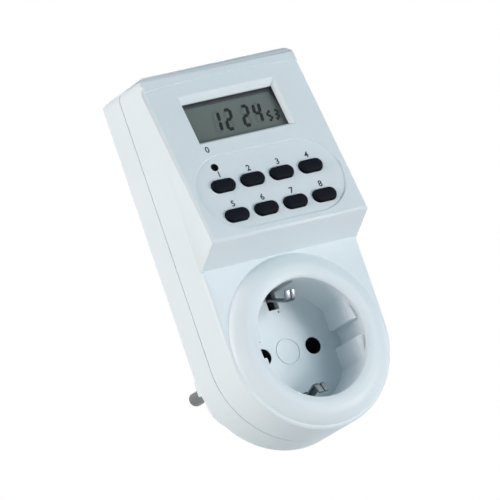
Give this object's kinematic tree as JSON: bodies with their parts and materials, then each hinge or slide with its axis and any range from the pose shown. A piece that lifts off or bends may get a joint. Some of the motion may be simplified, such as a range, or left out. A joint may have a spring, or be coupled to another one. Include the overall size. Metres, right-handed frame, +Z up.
{
  "type": "plug-in timer switch",
  "caption": "Plug-in digital timer switch with mains plug behind, earthed socket in front, sloping display and a panel of push buttons.",
  "frame": {"origin": "centre of the plug face, midway between the two pins", "axes": "+X to the right seen from the front, +Y out of the plug face along the pins into the wall, +Z up"},
  "size_m": [0.0594, 0.0755, 0.1243],
  "materials": {
    "shell": "moulded ABS, cool white, satin gloss",
    "rubber_black": "black silicone rubber, matt",
    "steel_screw": "zinc plated",
    "clear_window": "clear moulded sheet",
    "lcd_glass": "grey-green liquid crystal cell",
    "reflector": "silver-grey film",
    "white_plastic": "white moulded plastic",
    "zebra_rubber": "grey elastomer",
    "board_green": "green solder mask",
    "resin_black": "black epoxy",
    "steel_can": "plain drawn steel",
    "tinned_brass": "tinned",
    "relay_case": "blue moulded plastic",
    "copper_wire": "enamelled copper winding",
    "capacitor_yellow": "yellow moulded box",
    "can_sleeve": "dark blue shrink sleeve",
    "resistor_tan": "lacquered body",
    "varistor_blue": "blue epoxy coating",
    "ceramic": "white ceramic tube",
    "pin_nickel": "nickel plated brass, turned",
    "contact_brass": "plain stamped brass",
    "earth_nickel": "nickel plated spring bronze"
  },
  "bodies": {
    "housing": {"front_cover": "shell", "rear_cover": "shell", "housing_screws": "steel_screw", "control_board_screws": "steel_screw", "power_board_screws": "steel_screw", "display_window": "clear_window", "display_glass": "lcd_glass", "display_reflector": "reflector", "display_holder": "white_plastic", "headers": "white_plastic", "ribbon_cable": "white_plastic", "elastomer_strips": "zebra_rubber", "keypad_mat": "zebra_rubber", "control_board": "board_green", "power_board": "board_green", "chip_cap": "resin_black", "diodes": "resin_black", "clock_crystal": "steel_can", "backup_cell": "steel_can", "cell_tabs": "tinned_brass", "relay_base": "relay_case", "relay_cover": "relay_case", "relay_coil": "copper_wire", "film_capacitor": "capacitor_yellow", "electrolytic_capacitors": "can_sleeve", "resistors": "resistor_tan", "varistor": "varistor_blue", "fuse": "ceramic", "plug_pin_line": "pin_nickel", "plug_pin_neutral": "pin_nickel", "socket_contact_line": "contact_brass", "socket_contact_neutral": "contact_brass", "bar_line_in": "contact_brass", "bar_line_out": "contact_brass", "bar_neutral": "contact_brass", "earth_rivet": "contact_brass", "earth_strap_front": "earth_nickel", "earth_strap_rear": "earth_nickel"},
    "button_week": {"button_week": "rubber_black"},
    "button_hour": {"button_hour": "rubber_black"},
    "button_minute": {"button_minute": "rubber_black"},
    "button_recall": {"button_recall": "rubber_black"},
    "button_clock": {"button_clock": "rubber_black"},
    "button_timer": {"button_timer": "rubber_black"},
    "button_mode": {"button_mode": "rubber_black"},
    "button_random": {"button_random": "rubber_black"},
    "reset_button": {"reset_button": "rubber_black"},
    "relay_armature": {"relay_armature": "steel_can"}
  },
  "joints": [
    {"name": "button_week_press", "type": "slide", "parent": "housing", "child": "button_week", "axis": [0, 0.9785, -0.2062], "range_m": [0, 0.0006], "stiffness_N_per_m": 300, "springref_m": -0.001},
    {"name": "button_hour_press", "type": "slide", "parent": "housing", "child": "button_hour", "axis": [0, 0.9785, -0.2062], "range_m": [0, 0.0006], "stiffness_N_per_m": 300, "springref_m": -0.001},
    {"name": "button_minute_press", "type": "slide", "parent": "housing", "child": "button_minute", "axis": [0, 0.9785, -0.2062], "range_m": [0, 0.0006], "stiffness_N_per_m": 300, "springref_m": -0.001},
    {"name": "button_recall_press", "type": "slide", "parent": "housing", "child": "button_recall", "axis": [0, 0.9785, -0.2062], "range_m": [0, 0.0006], "stiffness_N_per_m": 300, "springref_m": -0.001},
    {"name": "button_clock_press", "type": "slide", "parent": "housing", "child": "button_clock", "axis": [0, 0.9785, -0.2062], "range_m": [0, 0.0006], "stiffness_N_per_m": 300, "springref_m": -0.001},
    {"name": "button_timer_press", "type": "slide", "parent": "housing", "child": "button_timer", "axis": [0, 0.9785, -0.2062], "range_m": [0, 0.0006], "stiffness_N_per_m": 300, "springref_m": -0.001},
    {"name": "button_mode_press", "type": "slide", "parent": "housing", "child": "button_mode", "axis": [0, 0.9785, -0.2062], "range_m": [0, 0.0006], "stiffness_N_per_m": 300, "springref_m": -0.001},
    {"name": "button_random_press", "type": "slide", "parent": "housing", "child": "button_random", "axis": [0, 0.9785, -0.2062], "range_m": [0, 0.0006], "stiffness_N_per_m": 300, "springref_m": -0.001},
    {"name": "reset_button_press", "type": "slide", "parent": "housing", "child": "reset_button", "axis": [0, 0.9785, -0.2062], "range_m": [0, 0.0006], "stiffness_N_per_m": 300, "springref_m": -0.001},
    {"name": "armature_rock", "type": "hinge", "parent": "housing", "child": "relay_armature", "pos_m": [0.00725, -0.0264, 0.037], "axis": [0, 0, -1], "range_deg": [0, 4], "stiffness_Nm_per_rad": 0.002, "springref_deg": -2.86}
  ]
}
